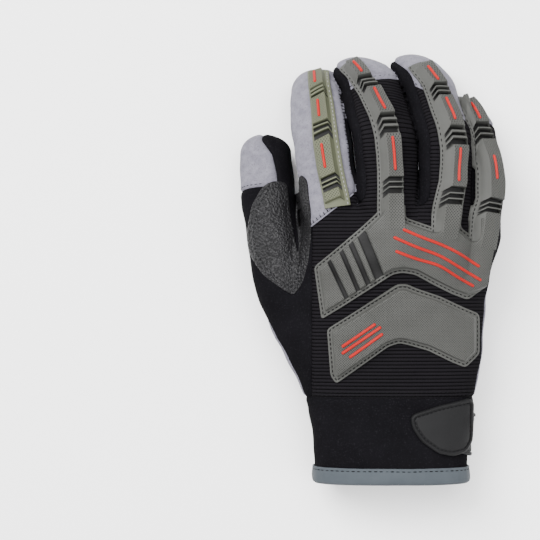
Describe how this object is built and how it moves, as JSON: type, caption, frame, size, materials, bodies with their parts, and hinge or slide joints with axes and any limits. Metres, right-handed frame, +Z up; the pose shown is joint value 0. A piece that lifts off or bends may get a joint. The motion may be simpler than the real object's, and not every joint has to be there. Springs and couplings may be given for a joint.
{
  "type": "impact glove",
  "caption": "Right-hand work glove with moulded grey guards on the knuckles, fingers and back of the hand, a padded palm and a rubber wrist strap.",
  "frame": {"origin": "middle of the glove's box, on the surface that the glove lies on palm down", "axes": "+Y from the wrist to the fingertips, +X towards the little finger, +Z up through the back of the hand"},
  "size_m": [0.1568, 0.252, 0.0668],
  "materials": {
    "suede": "napped microfibre suede, light lilac-grey",
    "ribbed_knit": "black cross-ribbed stretch knit",
    "neoprene": "black plain neoprene with a fine nap",
    "pebbled_leather": "black pebble-grained synthetic leather",
    "palm_padding": "dark grey textured grip patch over thin foam",
    "binding_tape": "blue-grey woven binding tape",
    "guard_rubber": "matt grey moulded rubber with a fine dimple grid",
    "olive_rubber": "matt olive-grey moulded rubber with a fine dimple grid",
    "strap_rubber": "matt charcoal moulded rubber",
    "red_rubber": "satin coral-red moulded rubber"
  },
  "bodies": {
    "root": {"cuff": "neoprene", "hem_binding": "binding_tape", "vent_binding": "binding_tape", "back_panel": "ribbed_knit", "side_gusset": "neoprene", "palm_panel": "suede", "index_back": "suede", "index_side": "neoprene", "index_front": "suede", "index_tip": "palm_padding", "middle_back": "ribbed_knit", "middle_cap": "suede", "middle_side_left": "neoprene", "middle_side_right": "neoprene", "middle_front": "suede", "middle_tip": "palm_padding", "ring_back": "ribbed_knit", "ring_cap": "suede", "ring_side_left": "neoprene", "ring_side_right": "neoprene", "ring_front": "suede", "ring_tip": "palm_padding", "little_back": "ribbed_knit", "little_cap": "suede", "little_side": "neoprene", "little_front": "suede", "little_tip": "palm_padding", "thumb_back": "neoprene", "thumb_cap": "suede", "thumb_front": "suede", "thumb_tip": "palm_padding", "hand_plate": "guard_rubber", "index_bar_1": "red_rubber", "index_bar_2": "red_rubber", "index_bar_3": "red_rubber", "index_guard": "olive_rubber", "knuckle_bar_1": "red_rubber", "knuckle_bar_2": "red_rubber", "knuckle_bar_3": "red_rubber", "knuckle_guard": "guard_rubber", "little_bar_1": "red_rubber", "little_bar_2": "red_rubber", "middle_bar_1": "red_rubber", "middle_bar_2": "red_rubber", "middle_bar_3": "red_rubber", "palm_pad_lower": "palm_padding", "palm_pad_upper": "palm_padding", "plate_bar_1": "red_rubber", "plate_bar_2": "red_rubber", "plate_bar_3": "red_rubber", "ring_bar_1": "red_rubber", "ring_bar_2": "red_rubber", "ring_bar_3": "red_rubber", "strap_bar_1": "red_rubber", "strap_bar_2": "red_rubber", "strap_bar_3": "red_rubber", "strap_tab": "strap_rubber", "thumb_saddle": "pebbled_leather", "wrist_strap": "strap_rubber"}
  },
  "joints": []
}
